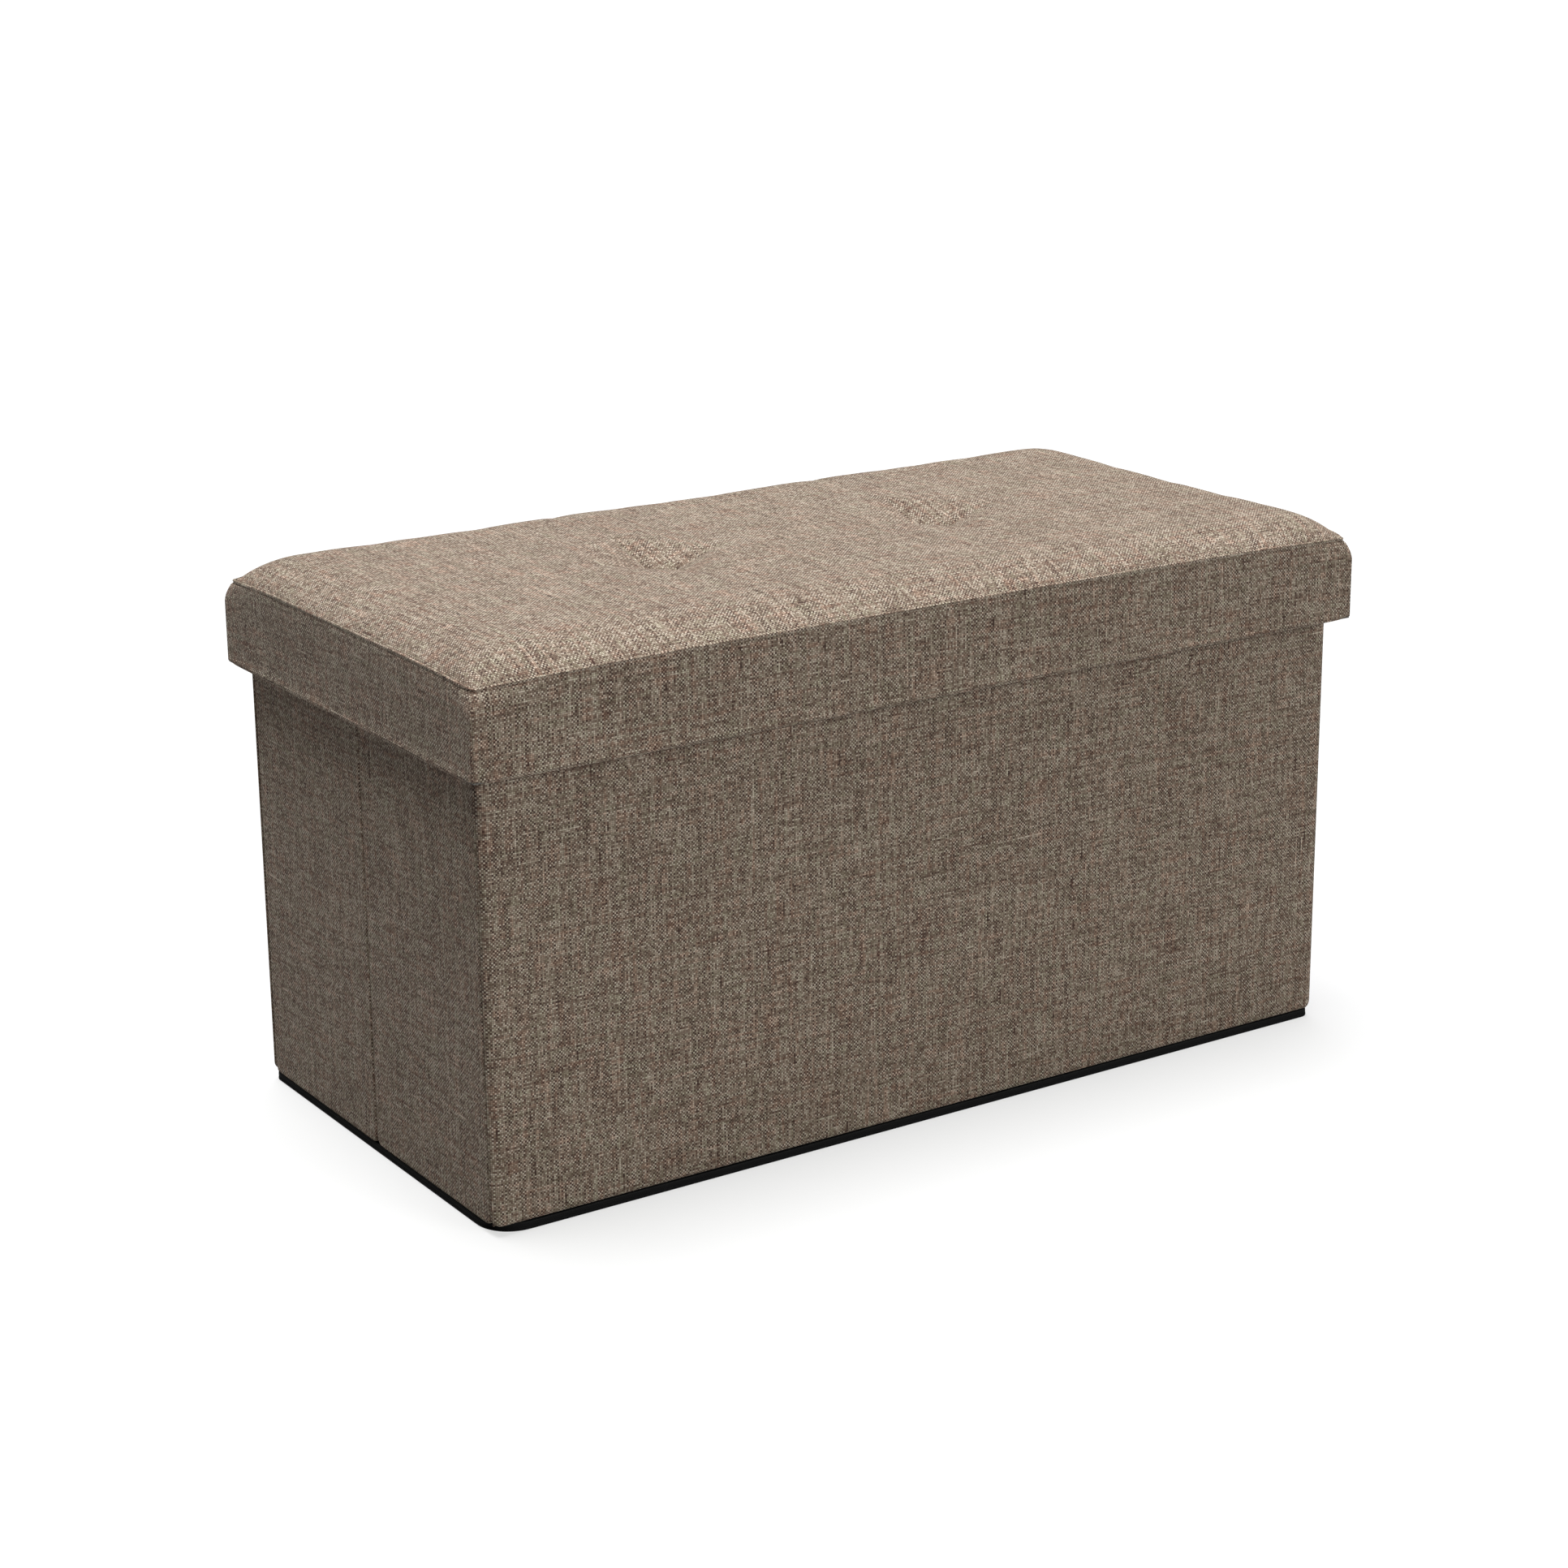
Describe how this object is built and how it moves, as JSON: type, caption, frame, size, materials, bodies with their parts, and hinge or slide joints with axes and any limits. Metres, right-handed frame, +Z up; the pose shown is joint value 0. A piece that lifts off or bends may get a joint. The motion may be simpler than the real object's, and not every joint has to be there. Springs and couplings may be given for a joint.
{
  "type": "storage bench",
  "caption": "Low rectangular folding storage bench: fabric-covered walls with folding ends, a loose base board and a padded, tufted lift-off lid with a skirt.",
  "frame": {"origin": "middle of the footprint, on the floor", "axes": "+X along the bench's length, +Y from front to back, +Z up"},
  "size_m": [0.76, 0.382, 0.4085],
  "materials": {
    "linen_weave": "matt linen-look weave, taupe and warm grey mixed yarns",
    "black_nonwoven": "matt black spunbond cloth",
    "wall_board": "smooth brown hardboard",
    "lid_board": "sanded medium-density fibreboard",
    "grey_board": "grey millboard",
    "foam": "open-cell polyurethane foam",
    "thread": "waxed upholstery twine",
    "anchor_plastic": "natural nylon",
    "staple_wire": "galvanised wire",
    "black_webbing": "black woven ribbon"
  },
  "bodies": {
    "back_wall": {"back_wall_board": "wall_board", "back_wall_cover": "linen_weave", "back_wall_lining": "black_nonwoven", "base_cloth": "black_nonwoven", "base_band": "black_nonwoven", "rear_left_hinge_cloth": "linen_weave", "rear_right_hinge_cloth": "linen_weave"},
    "left_rear_panel": {"left_rear_board": "wall_board", "left_rear_cover": "linen_weave", "left_rear_lining": "black_nonwoven", "middle_left_hinge_cloth": "linen_weave"},
    "left_front_panel": {"left_front_board": "wall_board", "left_front_cover": "linen_weave", "left_front_lining": "black_nonwoven"},
    "front_wall": {"front_wall_board": "wall_board", "front_wall_cover": "linen_weave", "front_wall_lining": "black_nonwoven", "front_left_hinge_cloth": "linen_weave", "front_right_hinge_cloth_front": "linen_weave"},
    "right_rear_panel": {"right_rear_board": "wall_board", "right_rear_cover": "linen_weave", "right_rear_lining": "black_nonwoven", "middle_right_hinge_cloth": "linen_weave"},
    "right_front_panel": {"right_front_board": "wall_board", "right_front_cover": "linen_weave", "right_front_lining": "black_nonwoven", "front_right_hinge_cloth_side": "linen_weave"},
    "insert": {"insert_board": "wall_board", "insert_cover": "black_nonwoven", "insert_pull_tab": "black_webbing"},
    "lid": {"lid_top_cover": "linen_weave", "lid_band_front": "linen_weave", "lid_band_back": "linen_weave", "lid_band_left": "linen_weave", "lid_band_right": "linen_weave", "lid_skirt_board_front": "grey_board", "lid_skirt_board_back": "grey_board", "lid_skirt_board_left": "grey_board", "lid_skirt_board_right": "grey_board", "lid_board": "lid_board", "lid_foam": "foam", "lid_lining": "black_nonwoven", "lid_tuft_threads": "thread", "lid_tuft_anchors": "anchor_plastic", "lid_staples": "staple_wire"}
  },
  "joints": [
    {"name": "lid_lift", "type": "slide", "parent": "back_wall", "child": "lid", "axis": [0, 0, 1], "range_m": [0, 0.4]},
    {"name": "fold", "type": "hinge", "parent": "back_wall", "child": "left_rear_panel", "pos_m": [-0.3595, 0.1675, 0], "axis": [0, 0, -1], "range_deg": [-90, 0], "deforming": ["rear_left_hinge_cloth"]},
    {"name": "left_middle_fold", "type": "hinge", "parent": "left_rear_panel", "child": "left_front_panel", "pos_m": [-0.3694, 0, 0], "axis": [0, 0, -1], "range_deg": [0, 180], "deforming": ["middle_left_hinge_cloth"]},
    {"name": "front_left_corner", "type": "hinge", "parent": "left_front_panel", "child": "front_wall", "pos_m": [-0.3595, -0.1675, 0], "axis": [0, 0, -1], "range_deg": [-90, 0], "deforming": ["front_left_hinge_cloth"]},
    {"name": "rear_right_corner", "type": "hinge", "parent": "back_wall", "child": "right_rear_panel", "pos_m": [0.3595, 0.1675, 0], "axis": [0, 0, -1], "range_deg": [0, 90], "deforming": ["rear_right_hinge_cloth"]},
    {"name": "right_middle_fold", "type": "hinge", "parent": "right_rear_panel", "child": "right_front_panel", "pos_m": [0.3694, 0, 0], "axis": [0, 0, -1], "range_deg": [-180, 0], "deforming": ["middle_right_hinge_cloth"]},
    {"name": "insert_tilt", "type": "hinge", "parent": "back_wall", "child": "insert", "pos_m": [0, 0.1697, 0.0052], "axis": [1, 0, 0], "range_deg": [-90, 0]}
  ],
  "couplings": [
    {"joint": "left_middle_fold", "follows": "fold", "ratio": -2},
    {"joint": "front_left_corner", "follows": "fold", "ratio": 1},
    {"joint": "rear_right_corner", "follows": "fold", "ratio": -1},
    {"joint": "right_middle_fold", "follows": "fold", "ratio": 2}
  ]
}
